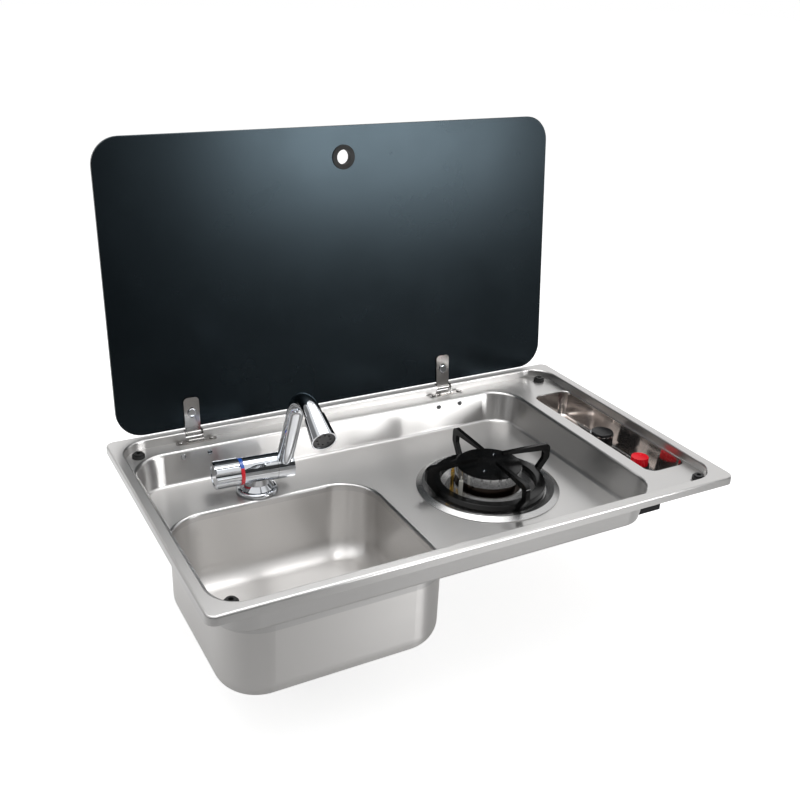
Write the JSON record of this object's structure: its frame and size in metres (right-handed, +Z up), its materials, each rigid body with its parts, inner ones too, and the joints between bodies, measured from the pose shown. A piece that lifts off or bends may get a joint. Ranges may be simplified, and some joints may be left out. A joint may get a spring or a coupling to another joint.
{
  "type": "rv sink with glass lid",
  "caption": "Stainless drop-in sink with a bowl, a gas burner, a folding chrome tap and a hinged dark glass lid.",
  "frame": {"origin": "middle of the rim's underside, in the plane of the worktop's surface", "axes": "+X to the user's right along the rim, +Y to the back, +Z up"},
  "size_m": [0.6, 0.3861, 0.5112],
  "materials": {
    "pressed_steel": "satin polished sheet",
    "hinge_steel": "bright plated",
    "chrome": "mirror chrome",
    "dark_glass": "near-black toughened glass",
    "black_rubber": "matt",
    "black_plastic": "satin",
    "button_red": "gloss",
    "ring_red": "gloss, blue over the top half",
    "black_enamel": "satin enamel",
    "burner_casting": "cast",
    "nylon": "natural",
    "brass": "machined",
    "ceramic": "white glaze",
    "pipe_metal": "drawn",
    "zinc": "zinc plated"
  },
  "bodies": {
    "sink": {"sink_top": "pressed_steel", "sink_bowl": "pressed_steel", "rim_seal": "black_rubber", "lid_bumpers": "black_rubber", "hinge_pins": "hinge_steel", "hinge_brackets": "hinge_steel", "hinge_covers": "hinge_steel", "hinge_screws": "hinge_steel", "hinge_nuts": "hinge_steel", "wall_rivets": "hinge_steel", "tap_base": "chrome", "tap_gasket": "black_rubber", "tap_washer": "zinc", "tap_nut": "brass", "cold_inlet_tail": "brass", "hot_inlet_tail": "brass", "waste_strainer": "pressed_steel", "waste_gasket": "black_rubber", "waste_body": "black_plastic", "waste_screw": "hinge_steel", "drip_dish": "pressed_steel", "burner_base": "burner_casting", "burner_crown": "burner_casting", "burner_cap": "black_enamel", "cap_rivets": "hinge_steel", "trivet": "black_enamel", "thermocouple": "brass", "spark_electrode": "ceramic", "injector_holder": "zinc", "injector": "brass", "burner_pipe": "pipe_metal", "pipe_nuts": "brass", "gas_feed_pipe": "pipe_metal", "gas_valve": "brass", "knob_bezel": "black_plastic", "igniter_collar": "black_plastic", "button_spring": "zinc", "igniter_box": "black_plastic"},
    "lid": {"lid_glass": "dark_glass", "thumb_grommet": "black_rubber", "hinge_strap_left": "hinge_steel", "hinge_strap_right": "hinge_steel", "strap_pads": "black_rubber", "strap_screws": "hinge_steel", "strap_bushes": "nylon", "strap_nuts": "hinge_steel"},
    "tap": {"tap_body": "chrome", "tap_cartridge": "nylon", "indicator_ring": "ring_red"},
    "handle": {"tap_handle": "chrome", "handle_cap": "chrome", "handle_spindle": "brass"},
    "spout": {"spout_arm": "chrome", "spout_nozzle": "chrome", "aerator": "nylon"},
    "plug": {"gas_plug": "brass"},
    "knob": {"gas_spindle": "brass", "gas_knob": "black_plastic", "knob_ring": "chrome"},
    "button": {"igniter_button": "button_red"}
  },
  "joints": [
    {"name": "lid_hinge", "type": "hinge", "parent": "sink", "child": "lid", "pos_m": [0, 0.17221, 0.00487], "axis": [1, 0, 0], "range_deg": [0, 94.97]},
    {"name": "tap_swivel", "type": "hinge", "parent": "sink", "child": "tap", "pos_m": [-0.1552, 0.0884, -0.0325], "axis": [0, 0, 1], "range_deg": [-30, 30]},
    {"name": "handle_turn", "type": "hinge", "parent": "tap", "child": "handle", "pos_m": [-0.1552, 0.0884, -0.011], "axis": [0.9972, -0.075, 0], "range_deg": [0, 110]},
    {"name": "spout_fold", "type": "hinge", "parent": "tap", "child": "spout", "pos_m": [-0.1552, 0.0884, -0.011], "axis": [0.9972, -0.075, 0], "range_deg": [0, 64.5]},
    {"name": "gas_turn", "type": "hinge", "parent": "sink", "child": "plug", "pos_m": [0.262, 0.001, -0.05], "axis": [0, 0, 1], "range_deg": [0, 200]},
    {"name": "knob_push", "type": "slide", "parent": "plug", "child": "knob", "axis": [0, 0, -1], "range_m": [0, 0.0025], "stiffness_N_per_m": 500, "springref_m": -0.003},
    {"name": "button_push", "type": "slide", "parent": "sink", "child": "button", "axis": [0, 0, -1], "range_m": [0, 0.003], "stiffness_N_per_m": 500, "springref_m": -0.003, "deforming": ["button_spring"]}
  ],
  "couplings": [
    {"joint": "spout_fold", "follows": "lid_hinge", "ratio": 0.679}
  ]
}
